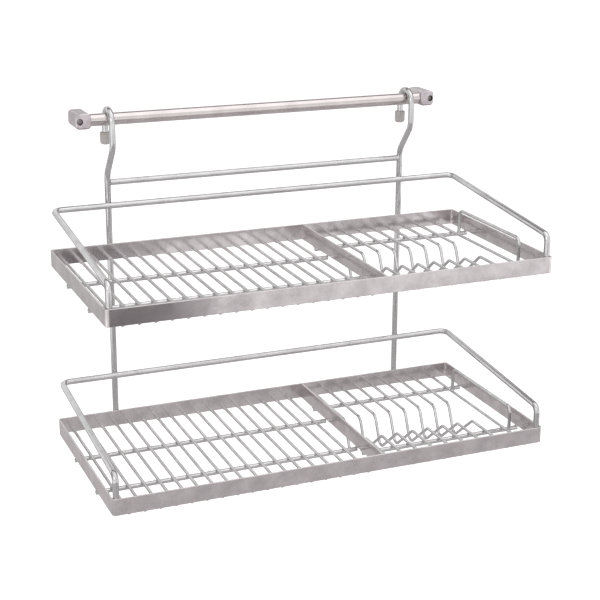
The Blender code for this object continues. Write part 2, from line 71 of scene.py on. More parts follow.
towards_camera = Vector((
    math.sin(CAMERA_AZIMUTH) * math.cos(CAMERA_ELEVATION),
    -math.cos(CAMERA_AZIMUTH) * math.cos(CAMERA_ELEVATION),
    math.sin(CAMERA_ELEVATION),
))
level_right = Vector((0, 0, 1)).cross(towards_camera).normalized()
level_up = towards_camera.cross(level_right)
camera_right = level_right * math.cos(CAMERA_ROLL) + level_up * math.sin(CAMERA_ROLL)
camera_up = level_up * math.cos(CAMERA_ROLL) - level_right * math.sin(CAMERA_ROLL)
camera_turn = Matrix((camera_right, camera_up, towards_camera)).transposed().to_4x4()

camera = bpy.data.objects.new("camera", bpy.data.cameras.new("camera"))
camera.data.lens = CAMERA_LENS_MM
camera.data.sensor_width = CAMERA_SENSOR_MM
camera.matrix_world = Matrix.Translation(CAMERA_PLACE) @ camera_turn
bpy.context.scene.collection.objects.link(camera)
bpy.context.scene.camera = camera
bpy.context.scene.view_settings.view_transform = "Standard"

# Rail: a thin-walled round steel tube, drawn, buffed along its length and bright chrome plated. Its two
# ends sit in the brackets' side sockets, so only the length between the brackets shows.
RAIL_WALL = 0.0012
RAIL_SIDES = 72
CUT_CHAMFER = 0.0003
SHARP_ANGLE = math.radians(42)


def linear(colour):
    # An sRGB hex colour as the linear colour that a shader takes
    parts = [int(colour[at:at + 2], 16) / 255 for at in (1, 3, 5)]
    return [part / 12.92 if part <= 0.04045 else ((part + 0.055) / 1.055) ** 2.4 for part in parts] + [1.0]


def add_node(tree, kind, values=(), links=(), **settings):
    # One node, its settings, the values of its sockets and the links into them
    node = tree.nodes.new(kind)
    for setting, value in settings.items():
        setattr(node, setting, value)
    for socket, value in dict(values).items():
        node.inputs[socket].default_value = value
    for socket, source in dict(links).items():
        tree.links.new(source, node.inputs[socket])
    return node


def bare_material(name):
    # A new material and its node tree, emptied
    material = bpy.data.materials.new(name)
    material.use_nodes = True
    material.node_tree.nodes.clear()
    return material, material.node_tree


def plated_steel(name, bright, dull, roughness, cloud_size, swell, lines=None):
    # Polished metal under bright plate. The eye sees a grey mirror, clouded in places by thin water marks,
    # slightly unsteady where the metal under it isn't flat, and a little blurred across polishing lines.
    # roughness is that of the bright and of the dull places, swell is the size and height of the
    # unevenness, and lines is the polishing lines' length, spacing and height
    material, tree = bare_material(name)
    place = add_node(tree, "ShaderNodeTexCoord")
    swell_size, swell_height = swell
    clouds = add_node(
        tree, "ShaderNodeTexNoise", {"Scale": 1 / cloud_size, "Detail": 4.0, "Roughness": 0.6},
        {"Vector": place.outputs["Object"]},
    )
    uneven = add_node(
        tree, "ShaderNodeTexNoise", {"Scale": 1 / swell_size, "Detail": 1.0},
        {"Vector": place.outputs["Object"]},
    )
    tint = add_node(tree, "ShaderNodeValToRGB", links={"Fac": clouds.outputs["Fac"]})
    tint.color_ramp.elements[0].position = 0.35
    tint.color_ramp.elements[0].color = linear(dull)
    tint.color_ramp.elements[1].position = 0.65
    tint.color_ramp.elements[1].color = linear(bright)
    dullness = add_node(
        tree, "ShaderNodeMapRange",
        {"From Min": 0.3, "From Max": 0.7, "To Min": roughness[1], "To Max": roughness[0]},
        {"Value": clouds.outputs["Fac"]},
    )
    swelling = add_node(
        tree, "ShaderNodeBump", {"Strength": 1.0, "Distance": swell_height},
        {"Height": uneven.outputs["Fac"]},
    )
    normal = swelling.outputs["Normal"]
    if lines:
        line_length, line_spacing, line_height = lines
        run = add_node(tree, "ShaderNodeUVMap", uv_map="run_and_girth")
        stretched = add_node(
            tree, "ShaderNodeMapping",
            {"Scale": (1 / line_length, 1 / line_spacing, 1)}, {"Vector": run.outputs["UV"]},
        )
        line_noise = add_node(
            tree, "ShaderNodeTexNoise", {"Scale": 1.0, "Detail": 2.0},
            {"Vector": stretched.outputs["Vector"]},
        )
        lined = add_node(
            tree, "ShaderNodeBump", {"Strength": 1.0, "Distance": line_height},
            {"Height": line_noise.outputs["Fac"], "Normal": normal},
        )
        normal = lined.outputs["Normal"]
    shader = add_node(
        tree, "ShaderNodeBsdfPrincipled", {"Metallic": 1.0},
        {"Base Color": tint.outputs["Color"], "Roughness": dullness.outputs["Result"], "Normal": normal},
    )
    add_node(tree, "ShaderNodeOutputMaterial", links={"Surface": shader.outputs["BSDF"]})
    return material


def finished_piece(name, bm, material, slot, body, *nodes):
    # A mesh made into a piece that rides on a body and stands for the CAD nodes named
    bmesh.ops.recalc_face_normals(bm, faces=bm.faces)
    mesh = bpy.data.meshes.new(name)
    bm.to_mesh(mesh)
    bm.free()
    mesh.shade_smooth()
    mesh.set_sharp_from_angle(angle=SHARP_ANGLE)
    mesh.materials.append(material)
    piece = bpy.data.objects.new(name, mesh)
    bpy.context.scene.collection.objects.link(piece)
    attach(piece, body)
    if nodes:
        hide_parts(*nodes)


def add_hoop_faces(bm, hoops, runs, closed=False):
    # Skin between hoops of points, with UVs in metres: the run along the piece, then the girth round it.
    # A closed piece joins its last hoop to its first and gives one more run, for the way back
    layer = bm.loops.layers.uv.get("run_and_girth") or bm.loops.layers.uv.new("run_and_girth")
    count = len(hoops[0])
    girths = [0.0]
    for at in range(count):
        girths.append(girths[-1] + (hoops[0][(at + 1) % count].co - hoops[0][at].co).length)
    pairs = list(zip(hoops, hoops[1:], runs, runs[1:]))
    if closed:
        pairs.append((hoops[-1], hoops[0], runs[-1], runs[len(hoops)]))
    for here, ahead, run_here, run_ahead in pairs:
        for at in range(count):
            beside = (at + 1) % count
            face = bm.faces.new((here[at], ahead[at], ahead[beside], here[beside]))
            corners = (
                (run_here, girths[at]), (run_ahead, girths[at]),
                (run_ahead, girths[at + 1]), (run_here, girths[at + 1]),
            )
            for loop, corner in zip(face.loops, corners):
                loop[layer].uv = corner


tube_chrome = plated_steel(
    "buffed_chrome_on_drawn_tube", "#d8d1d0", "#ccc5c4", roughness=(0.10, 0.19), cloud_size=0.030,
    swell=(0.018, 0.000010), lines=(0.060, 0.0006, 0.0000012),
)
rail_low, rail_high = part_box("rail_tube")
rail_radius = (rail_high.z - rail_low.z) / 2
rail_axis = (rail_low + rail_high) / 2
rail_bore = rail_radius - RAIL_WALL
rail_profile = [
    (rail_low.x, rail_bore), (rail_low.x, rail_radius - CUT_CHAMFER), (rail_low.x + CUT_CHAMFER, rail_radius),
    (rail_high.x - CUT_CHAMFER, rail_radius), (rail_high.x, rail_radius - CUT_CHAMFER),
    (rail_high.x, rail_bore),
]
rail = bmesh.new()
rail_hoops = []
for rail_x, radius in rail_profile:
    hoop = []
    for side in range(RAIL_SIDES):
        angle = math.tau * side / RAIL_SIDES
        hoop.append(rail.verts.new((
            rail_x, rail_axis.y + radius * math.cos(angle), rail_axis.z + radius * math.sin(angle),
        )))
    rail_hoops.append(hoop)
rail_runs = [rail_x for rail_x, radius in rail_profile] + [rail_high.x]
add_hoop_faces(rail, rail_hoops, rail_runs, closed=True)
finished_piece("chromed_rail", rail, tube_chrome, "polished_tube", "wall_rail", "rail_tube")

# Wall brackets: zinc die castings with round corners, tumbled and chrome plated, screwed to the wall. The
# CAD solids have their shape. Cast metal under plate gives a softer, faintly rippled reflection.
cast_chrome = plated_steel(
    "chromed_zinc_casting", "#cdc6c9", "#b8b0b4", roughness=(0.16, 0.30), cloud_size=0.012,
    swell=(0.0045, 0.000012),
)
for node in ("left_rail_bracket", "right_rail_bracket"):
    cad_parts[node].material_slots[0].material = cast_chrome

# Wall screws: zinc-plated steel with a pan head and a cross recess, sunk in the brackets' fronts. Dull
# plate and the shade of the recess make them read as one dark point.
screw_zinc = plated_steel(
    "zinc_plated_screw_steel", "#b2adab", "#96918f", roughness=(0.32, 0.48), cloud_size=0.003,
    swell=(0.0015, 0.000008),
)
for node in ("left_wall_screw", "right_wall_screw"):
    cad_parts[node].material_slots[0].material = screw_zinc

# Uprights: 8 mm drawn steel wire, bent cold into a hook over the rail and a step back towards the wall,
# then chromed with the rest of the rack. The lower end turns back to the wall behind the lower shelf.
HOOK_RADIUS = 0.017
SEAT_GAP = 0.0003  # between solids that touch on the real rack
HOOK_TAIL_DROP = 0.031
STEP_TOP_DROP = 0.036
STEP_BOTTOM_DROP = 0.075
STEP_RADIUS = 0.022
LOWER_END_Z = -0.418
LOWER_END_Y = -0.0033
LOWER_END_RADIUS = 0.007
BEND_TURN = math.radians(7)
WIRE_SIDES = 20
WELD_SWELL = 0.0008
WELD_REACH = 0.0018


def bent_path(corners, radii):
    # The centre line of a bent wire: straight runs joined by arcs, each of its own radius
    points = [Vector(corners[0])]
    for before, corner, after, radius in zip(corners, corners[1:], corners[2:], radii):
        corner = Vector(corner)
        back = (Vector(before) - corner).normalized()
        ahead = (Vector(after) - corner).normalized()
        half = back.angle(ahead) / 2
        centre = corner + (back + ahead).normalized() * (radius / math.sin(half))
        start = corner + back * (radius / math.tan(half)) - centre
        axis = ahead.cross(back).normalized()
        turn = math.pi - 2 * half
        steps = math.ceil(turn / BEND_TURN)
        for step in range(steps + 1):
            points.append(centre + Matrix.Rotation(turn * step / steps, 3, axis) @ start)
    points.append(Vector(corners[-1]))
    return points


# The rings of a wire's end: how far each stands from the end, and what it adds to the wire's radius
END_SHAPES = {
    "cut": ((0.0, -CUT_CHAMFER), (CUT_CHAMFER, 0.0)),
    "welded": (
        (0.0, WELD_SWELL), (WELD_REACH / 5, WELD_SWELL / 2), (WELD_REACH / 2, WELD_SWELL / 6),
        (WELD_REACH, 0.0),
    ),
}


def add_wire(bm, path, radius, ends):
    # One round wire along a path. An end is cut, with a small chamfer, or welded, swelling into its joint
    forward = (path[1] - path[0]).normalized()
    backward = (path[-2] - path[-1]).normalized()
    first_rings, last_rings = END_SHAPES[ends[0]], reversed(END_SHAPES[ends[1]])
    stations = [(path[0] + forward * reach, radius + swell) for reach, swell in first_rings]
    stations += [(point, radius) for point in path[1:-1]]
    stations += [(path[-1] + backward * reach, radius + swell) for reach, swell in last_rings]
    points = [point for point, size in stations]
    runs = [0.0]
    for here, ahead in zip(points, points[1:]):
        runs.append(runs[-1] + (ahead - here).length)
    hoops = []
    across = forward.orthogonal().normalized()
    for at, (point, size) in enumerate(stations):
        along = (points[min(at + 1, len(points) - 1)] - points[max(at - 1, 0)]).normalized()
        across = (across - along * across.dot(along)).normalized()
        up = along.cross(across)
        hoop = []
        for side in range(WIRE_SIDES):
            angle = math.tau * side / WIRE_SIDES
            hoop.append(bm.verts.new(point + (across * math.cos(angle) + up * math.sin(angle)) * size))
        hoops.append(hoop)
    add_hoop_faces(bm, hoops, runs)
    bm.faces.new(reversed(hoops[0]))
    bm.faces.new(hoops[-1])


thick_wire_chrome = plated_steel(
    "bright_chrome_on_thick_wire", "#d6d5d5", "#c8c7c7", roughness=(0.13, 0.24), cloud_size=0.022,
    swell=(0.010, 0.000009), lines=(0.040, 0.0005, 0.0000014),
)
crossbar_low, crossbar_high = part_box("crossbar")
crossbar_y = (crossbar_low.y + crossbar_high.y) / 2
upright_places = []
for side in ("left_", "right_"):
    low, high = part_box(side + "upright")
    upright_x = (low.x + high.x) / 2
    upright_radius = (high.x - low.x) / 2
    hook_top = rail_radius + SEAT_GAP + upright_radius
    upright_path = bent_path(
        [
            (upright_x, rail_axis.y + HOOK_RADIUS, -HOOK_TAIL_DROP),
            (upright_x, rail_axis.y + HOOK_RADIUS, hook_top),
            (upright_x, rail_axis.y - HOOK_RADIUS, hook_top),
            (upright_x, rail_axis.y - HOOK_RADIUS, -STEP_TOP_DROP),
            (upright_x, crossbar_y, -STEP_BOTTOM_DROP),
            (upright_x, crossbar_y, LOWER_END_Z),
            (upright_x, LOWER_END_Y, LOWER_END_Z),
        ],
        (HOOK_RADIUS, HOOK_RADIUS, STEP_RADIUS, STEP_RADIUS, LOWER_END_RADIUS),
    )
    hooked = bmesh.new()
    add_wire(hooked, upright_path, upright_radius, ("cut", "cut"))
    finished_piece(
        side + "hooked_wire", hooked, thick_wire_chrome, "polished_wire", "rack", side + "upright",
    )
    upright_places.append(upright_x)

# Hook tips and wall buffers: soft grey PVC caps, injection moulded and pushed over the wire ends. The
# mould leaves them matt, with a fine split line, and handling adds faint paler marks.
CAP_SIDES = 48
CAP_EDGE_STEPS = 6
CAP_SPLIT_HEIGHT = 0.00012
CAP_BORE_RADIUS = 0.0042
TIP_EDGE_RADIUS = 0.0040
TIP_BORE_DEPTH = 0.0115
PAD_EDGE_RADIUS = 0.0015
PAD_BORE_DEPTH = 0.0050
CAP_GRAIN_SIZE = 0.0006
CAP_GRAIN_HEIGHT = 0.00003
CAP_MARKS_PER_METRE = 260


def cap_plastic():
    # Moulded PVC. The eye sees a soft grey with a low sheen, a fine grain, and marks a little paler and
    # duller than the rest
    material, tree = bare_material("moulded_grey_pvc")
    place = add_node(tree, "ShaderNodeTexCoord")
    skin = add_node(
        tree, "ShaderNodeTexNoise", {"Scale": 1 / CAP_GRAIN_SIZE, "Detail": 2.0},
        {"Vector": place.outputs["Object"]},
    )
    marks = add_node(
        tree, "ShaderNodeTexNoise", {"Scale": CAP_MARKS_PER_METRE, "Detail": 3.0},
        {"Vector": place.outputs["Object"]},
    )
    tint = add_node(tree, "ShaderNodeValToRGB", links={"Fac": marks.outputs["Fac"]})
    tint.color_ramp.elements[0].position = 0.3
    tint.color_ramp.elements[0].color = linear("#b1aca9")
    tint.color_ramp.elements[1].position = 0.7
    tint.color_ramp.elements[1].color = linear("#c0bbb8")
    gloss = add_node(
        tree, "ShaderNodeMapRange", {"To Min": 0.38, "To Max": 0.56}, {"Value": marks.outputs["Fac"]},
    )
    grain = add_node(
        tree, "ShaderNodeBump", {"Strength": 0.6, "Distance": CAP_GRAIN_HEIGHT},
        {"Height": skin.outputs["Fac"]},
    )
    shader = add_node(
        tree, "ShaderNodeBsdfPrincipled", {"IOR": 1.53},
        {
            "Base Color": tint.outputs["Color"],
            "Roughness": gloss.outputs["Result"],
            "Normal": grain.outputs["Normal"],
        },
    )
    add_node(tree, "ShaderNodeOutputMaterial", links={"Surface": shader.outputs["BSDF"]})
    return material


def moulded_cap(profile):
    # A closed round body from (radius, height) points, turned about the Z axis and capped at both ends
    bm = bmesh.new()
    hoops = []
    for radius, height in profile:
        hoop = []
        for side in range(CAP_SIDES):
            angle = math.tau * side / CAP_SIDES
            # The two halves of the mould meet in a fine ridge on opposite sides
            ridged = radius + (CAP_SPLIT_HEIGHT if side % (CAP_SIDES // 2) == 0 else 0.0)
            hoop.append(bm.verts.new((ridged * math.cos(angle), ridged * math.sin(angle), height)))
        hoops.append(hoop)
    add_hoop_faces(bm, hoops, [height for radius, height in profile])
    bm.faces.new(reversed(hoops[0]))
    bm.faces.new(hoops[-1])
    return bm


def cap_profile(radius, length, edge_radius, bore_depth):
    # A cap's outline from its closed end up: the round edge, the side, the soft lip, the mouth and the bore
    profile = []
    for step in range(CAP_EDGE_STEPS + 1):
        angle = math.pi / 2 * step / CAP_EDGE_STEPS
        profile.append((
            radius - edge_radius + edge_radius * math.sin(angle), edge_radius - edge_radius * math.cos(angle),
        ))
    lip = (radius - CAP_BORE_RADIUS) / 4
    profile += [(radius, length - lip), (radius - lip / 3, length - lip / 3), (radius - lip, length)]
    profile += [(CAP_BORE_RADIUS, length), (CAP_BORE_RADIUS, length - bore_depth)]
    return profile


grey_pvc = cap_plastic()
for side in ("left_", "right_"):
    low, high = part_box(side + "hook_tip")
    tip = moulded_cap(cap_profile((high.x - low.x) / 2, high.z - low.z, TIP_EDGE_RADIUS, TIP_BORE_DEPTH))
    bmesh.ops.translate(tip, verts=tip.verts, vec=((low.x + high.x) / 2, (low.y + high.y) / 2, low.z))
    finished_piece(side + "hook_cap", tip, grey_pvc, "grey_cap", "rack", side + "hook_tip")
    low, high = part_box(side + "wall_buffer")
    pad = moulded_cap(cap_profile((high.x - low.x) / 2, high.y - low.y, PAD_EDGE_RADIUS, PAD_BORE_DEPTH))
    bmesh.ops.rotate(pad, verts=pad.verts, matrix=Matrix.Rotation(math.pi / 2, 3, "X"))
    bmesh.ops.translate(pad, verts=pad.verts, vec=((low.x + high.x) / 2, high.y, (low.z + high.z) / 2))
    finished_piece(side + "wall_pad", pad, grey_pvc, "grey_cap", "rack", side + "wall_buffer")

# Crossbar: 8 mm wire cut to length and butt welded between the uprights. Like every joint of the rack it
# was welded before plating, so the chrome runs over the weld without a change of colour.
END_BURIED = 0.0012
bar_middle = (crossbar_low + crossbar_high) / 2
bar_radius = (crossbar_high.y - crossbar_low.y) / 2
crossbar = bmesh.new()
crossbar_ends = (
    Vector((upright_places[0] + upright_radius - END_BURIED, bar_middle.y, bar_middle.z)),
    Vector((upright_places[1] - upright_radius + END_BURIED, bar_middle.y, bar_middle.z)),
)
add_wire(crossbar, crossbar_ends, bar_radius, ("welded", "welded"))
finished_piece("welded_crossbar", crossbar, thick_wire_chrome, "polished_wire", "rack", "crossbar")

# Rims and dividers: cold-rolled steel strip, 2 mm thick, on edge. A rim is bent round four corners and its
# ends are butt welded. The rolled strip isn't quite flat, so its reflections wander in soft patches.
RIM_THICKNESS = 0.0020
RIM_CORNER_RADIUS = 0.005
STRIP_EDGE_RADIUS = 0.0006
CORNER_STEPS = 8
CORNER_MARGIN = 0.001
EDGE_STEPS = 4
EDGE_MARGIN = 0.0002


def rounded_outline(width, depth, radius, steps, margin):
    # Points round a centred rectangle with round corners. Two more points stand on each straight side, a
    # margin away from the corners, so that the sides are shaded flat between them
    arcs = []
    for quarter, (right, back) in enumerate(((1, 1), (-1, 1), (-1, -1), (1, -1))):
        centre = Vector((right * (width / 2 - radius), back * (depth / 2 - radius), 0))
        angles = [math.pi / 2 * (quarter + step / steps) for step in range(steps + 1)]
        arcs.append([centre + Vector((math.cos(angle), math.sin(angle), 0)) * radius for angle in angles])
    points = []
    for arc, following in zip(arcs, arcs[1:] + arcs[:1]):
        run = (following[0] - arc[-1]).normalized() * margin
        points += arc + [arc[-1] + run, following[0] - run]
    return points


def strip_section(thickness, height):
    # The strip's cut face as (inset from the outer side, height) points, with rolled round edges
    outline = rounded_outline(thickness, height, STRIP_EDGE_RADIUS, EDGE_STEPS, EDGE_MARGIN)
    return [(point.x + thickness / 2, point.y - height / 2) for point in outline]


strip_chrome = plated_steel(
    "bright_chrome_on_rolled_strip", "#e1dbdc", "#cbc5c6", roughness=(0.11, 0.22), cloud_size=0.026,
    swell=(0.024, 0.000070), lines=(0.050, 0.0007, 0.0000016),
)
for shelf in ("upper_", "lower_"):
    low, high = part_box(shelf + "rim_band")
    middle = Vector(((low.x + high.x) / 2, (low.y + high.y) / 2, high.z))
    width = high.x - low.x
    depth = high.y - low.y
    outer = rounded_outline(width, depth, RIM_CORNER_RADIUS, CORNER_STEPS, CORNER_MARGIN)
    inner = rounded_outline(
        width - 2 * RIM_THICKNESS, depth - 2 * RIM_THICKNESS, RIM_CORNER_RADIUS - RIM_THICKNESS,
        CORNER_STEPS, CORNER_MARGIN,
    )
    rim = bmesh.new()
    rim_hoops = []
    for outside, inside in zip(outer, inner):
        hoop = []
        for inset, height in strip_section(RIM_THICKNESS, high.z - low.z):
            place = outside.lerp(inside, inset / RIM_THICKNESS) + Vector((0, 0, height)) + middle
            hoop.append(rim.verts.new(place))
        rim_hoops.append(hoop)
    rim_runs = [0.0]
    for here, ahead in zip(outer, outer[1:] + outer[:1]):
        rim_runs.append(rim_runs[-1] + (ahead - here).length)
    add_hoop_faces(rim, rim_hoops, rim_runs, closed=True)
    finished_piece(shelf + "strip_rim", rim, strip_chrome, "polished_strip", "rack", shelf + "rim_band")

    low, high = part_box(shelf + "divider_strip")
    divider = bmesh.new()
    divider_ends = (low.y - SEAT_GAP, high.y + SEAT_GAP)
    divider_hoops = []
    for place_y in divider_ends:
        hoop = []
        for inset, height in strip_section(high.x - low.x, high.z - low.z):
            hoop.append(divider.verts.new((low.x + inset, place_y, high.z + height)))
        divider_hoops.append(hoop)
    add_hoop_faces(divider, divider_hoops, (0.0, divider_ends[1] - divider_ends[0]))
    divider.faces.new(divider_hoops[0])
    divider.faces.new(reversed(divider_hoops[-1]))
    finished_piece(
        shelf + "strip_divider", divider, strip_chrome, "polished_strip", "rack", shelf + "divider_strip",
    )

# Drainer mats: on each shelf seventeen 4 mm wires run front to back over two 6 mm bars and are resistance
# welded at every crossing. Hand-loaded wires are never quite evenly spaced or quite straight.
WIRE_COUNT = 17
WIRE_RADIUS = 0.002
BAR_RADIUS = 0.003
FIRST_WIRE_OFFSET = 0.0207
LAST_WIRE_GAP = 0.0196
DRAINER_BAR_OFFSETS = (0.079, 0.182)
WELD_SINK = 0.0005
WIRE_STRAY = 0.00018
CROSSING_WELD = (0.0024, 0.0022, 0.0007)  # half sizes across, along and up, as for every weld
RIM_BAR_WELD = (0.0016, 0.0028, 0.0011)
WELD_LUMP_HEIGHT = 0.18
WELD_LUMP_SCALE = 1.6

thin_wire_chrome = plated_steel(
    "bright_chrome_on_thin_wire", "#d5d4d4", "#c6c5c5", roughness=(0.16, 0.28), cloud_size=0.016,
    swell=(0.007, 0.000008), lines=(0.030, 0.0004, 0.0000014),
)
stray = random.Random(17)


def add_weld(bm, centre, size):
    # The small uneven lump of metal that a weld squeezes out round its joint
    made = bmesh.ops.create_icosphere(bm, subdivisions=2, radius=1.0)
    shift = Vector((stray.uniform(0, 50), 0, 0))
    for vert in made["verts"]:
        lump = 1 + WELD_LUMP_HEIGHT * noise.noise(vert.co * WELD_LUMP_SCALE + shift)
        vert.co = Vector(centre) + Vector([part * reach * lump for part, reach in zip(vert.co, size)])


shelf_welds = {"upper_": bmesh.new(), "lower_": bmesh.new()}
for shelf in ("upper_", "lower_"):
    low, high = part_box(shelf + "rim_band")
    divider_low, divider_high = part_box(shelf + "divider_strip")
    divider_x = (divider_low.x + divider_high.x) / 2
    bar_z = low.z - SEAT_GAP - BAR_RADIUS
    wire_z = bar_z + BAR_RADIUS + WIRE_RADIUS - WELD_SINK
    first_x = low.x + FIRST_WIRE_OFFSET
    last_x = divider_x - LAST_WIRE_GAP
    front_y = low.y + RIM_THICKNESS - SEAT_GAP
    back_y = high.y - RIM_THICKNESS + SEAT_GAP
    mat = bmesh.new()
    for at in range(WIRE_COUNT):
        wire_x = first_x + (last_x - first_x) * at / (WIRE_COUNT - 1)
        wire_path = [Vector((wire_x, front_y, wire_z))]
        for offset in DRAINER_BAR_OFFSETS:
            crossing_x = wire_x + stray.uniform(-WIRE_STRAY, WIRE_STRAY)
            wire_path.append(Vector((crossing_x, low.y + offset, wire_z)))
            add_weld(shelf_welds[shelf], (crossing_x, low.y + offset, bar_z + BAR_RADIUS), CROSSING_WELD)
        wire_path.append(Vector((wire_x, back_y, wire_z)))
        add_wire(mat, wire_path, WIRE_RADIUS, ("welded", "welded"))
    for offset in DRAINER_BAR_OFFSETS:
        bar_ends = (Vector((low.x, low.y + offset, bar_z)), Vector((divider_x, low.y + offset, bar_z)))
        add_wire(mat, bar_ends, BAR_RADIUS, ("cut", "cut"))
        add_weld(shelf_welds[shelf], (low.x + RIM_THICKNESS, low.y + offset, low.z), RIM_BAR_WELD)
    finished_piece(
        shelf + "drainer_mat", mat, thin_wire_chrome, "polished_wire", "rack", shelf + "drainer_grid",
    )

# Plate side: eight 4 mm wires bent down into a trough that takes the plates' lower edge, and a straight
# one at the end. They lie on two bars of their own, whose ends are welded under the rim and the divider.
PLATE_WIRES = 8
PLATE_BAR_OFFSETS = {"front": 0.063, "rear": 0.226}
TROUGH_FRONT_OFFSET = 0.0950
TROUGH_BOTTOM_OFFSET = 0.1450
TROUGH_REAR_OFFSET = 0.1640
TROUGH_DEPTH = 0.0414
TROUGH_RADII = (0.006, 0.008, 0.012)
DIVIDER_BAR_WELD = (0.0030, 0.0028, 0.0011)
for shelf in ("upper_", "lower_"):
    low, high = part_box(shelf + "rim_band")
    bar_z = low.z - SEAT_GAP - BAR_RADIUS
    wire_z = bar_z + BAR_RADIUS + WIRE_RADIUS
    front_y = low.y + RIM_THICKNESS - SEAT_GAP
    back_y = high.y - RIM_THICKNESS + SEAT_GAP
    for place, offset in PLATE_BAR_OFFSETS.items():
        bar_low, bar_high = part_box(shelf + "plate_" + place + "_bar")
        bar = bmesh.new()
        bar_ends = (Vector((bar_low.x, low.y + offset, bar_z)), Vector((bar_high.x, low.y + offset, bar_z)))
        add_wire(bar, bar_ends, BAR_RADIUS, ("cut", "cut"))
        finished_piece(
            shelf + "plate_bar_" + place, bar, thin_wire_chrome, "polished_wire", "rack",
            shelf + "plate_" + place + "_bar",
        )
        add_weld(shelf_welds[shelf], (high.x - RIM_THICKNESS, low.y + offset, low.z), RIM_BAR_WELD)
        add_weld(shelf_welds[shelf], (bar_low.x, low.y + offset, low.z), DIVIDER_BAR_WELD)
    for at in range(PLATE_WIRES):
        node = shelf + "plate_wire_" + str(at + 1)
        wire_low, wire_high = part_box(node)
        wire_x = (wire_low.x + wire_high.x) / 2
        corners = [
            (wire_x, front_y, wire_z), (wire_x, low.y + TROUGH_FRONT_OFFSET, wire_z),
            (wire_x, low.y + TROUGH_BOTTOM_OFFSET, wire_z - TROUGH_DEPTH),
            (wire_x, low.y + TROUGH_REAR_OFFSET, wire_z), (wire_x, back_y, wire_z),
        ]
        bent = bmesh.new()
        add_wire(bent, bent_path(corners, TROUGH_RADII), WIRE_RADIUS, ("welded", "welded"))
        finished_piece(
            shelf + "trough_wire_" + str(at + 1), bent, thin_wire_chrome, "polished_wire", "rack", node,
        )
        for offset in PLATE_BAR_OFFSETS.values():
            add_weld(shelf_welds[shelf], (wire_x, low.y + offset, bar_z + BAR_RADIUS), CROSSING_WELD)
    wire_low, wire_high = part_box(shelf + "plate_end_wire")
    end_x = (wire_low.x + wire_high.x) / 2
    straight = bmesh.new()
    straight_ends = (Vector((end_x, front_y, wire_z)), Vector((end_x, back_y, wire_z)))
    add_wire(straight, straight_ends, WIRE_RADIUS, ("welded", "welded"))
    finished_piece(
        shelf + "end_wire", straight, thin_wire_chrome, "polished_wire", "rack", shelf + "plate_end_wire",
    )
    for offset in PLATE_BAR_OFFSETS.values():
        add_weld(shelf_welds[shelf], (end_x, low.y + offset, bar_z + BAR_RADIUS), CROSSING_WELD)

# Plate fences: on each shelf an upside-down U of 4.5 mm wire, bent cold, stands on the end wire and keeps
# the last plate from falling over. Its two feet are butt welded.
FENCE_RADIUS = 0.00225
FENCE_BEND_RADIUS = 0.009
FENCE_RISE = 0.0155
FENCE_FRONT_OFFSET = 0.0442
FENCE_REAR_OFFSET = 0.2035
FOOT_SINK = 0.0006
for shelf in ("upper_", "lower_"):
    low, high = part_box(shelf + "rim_band")
    fence_low, fence_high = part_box(shelf + "plate_fence")
    fence_x = (fence_low.x + fence_high.x) / 2
    foot_z = fence_low.z - FOOT_SINK
    front_y = low.y + FENCE_FRONT_OFFSET
    rear_y = low.y + FENCE_REAR_OFFSET
    corners = [
        (fence_x, front_y, foot_z), (fence_x, front_y, high.z + FENCE_RISE),
        (fence_x, rear_y, high.z + FENCE_RISE), (fence_x, rear_y, foot_z),
    ]
    fence = bmesh.new()
    fence_path = bent_path(corners, (FENCE_BEND_RADIUS, FENCE_BEND_RADIUS))
    add_wire(fence, fence_path, FENCE_RADIUS, ("welded", "welded"))
    finished_piece(
        shelf + "last_plate_fence", fence, thin_wire_chrome, "polished_wire", "rack", shelf + "plate_fence",
    )

# Guards: on each shelf one 8 mm wire stands in the rim's front corners, climbs along both sides and
# crosses the back in front of the uprights. It keeps cups and plates from sliding off the shelf.
GUARD_RADIUS = 0.004
GUARD_FRONT_RISE = 0.0275
GUARD_REAR_RISE = 0.0520
GUARD_BEND_RADII = (0.010, 0.011, 0.011, 0.010)
GUARD_FOOT_DEPTH = 0.018
for shelf in ("upper_", "lower_"):
    low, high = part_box(shelf + "rim_band")
    inset = RIM_THICKNESS + SEAT_GAP + GUARD_RADIUS
    left_x = low.x + inset
    right_x = high.x - inset
    front_y = low.y + inset
    rear_y = high.y - GUARD_RADIUS
    corners = [
        (left_x, front_y, high.z - GUARD_FOOT_DEPTH), (left_x, front_y, high.z + GUARD_FRONT_RISE),
        (left_x, rear_y, high.z + GUARD_REAR_RISE), (right_x, rear_y, high.z + GUARD_REAR_RISE),
        (right_x, front_y, high.z + GUARD_FRONT_RISE), (right_x, front_y, high.z - GUARD_FOOT_DEPTH),
    ]
    guard = bmesh.new()
    add_wire(guard, bent_path(corners, GUARD_BEND_RADII), GUARD_RADIUS, ("cut", "cut"))
    finished_piece(
        shelf + "shelf_guard", guard, thick_wire_chrome, "polished_wire", "rack", shelf + "guard_wire",
    )

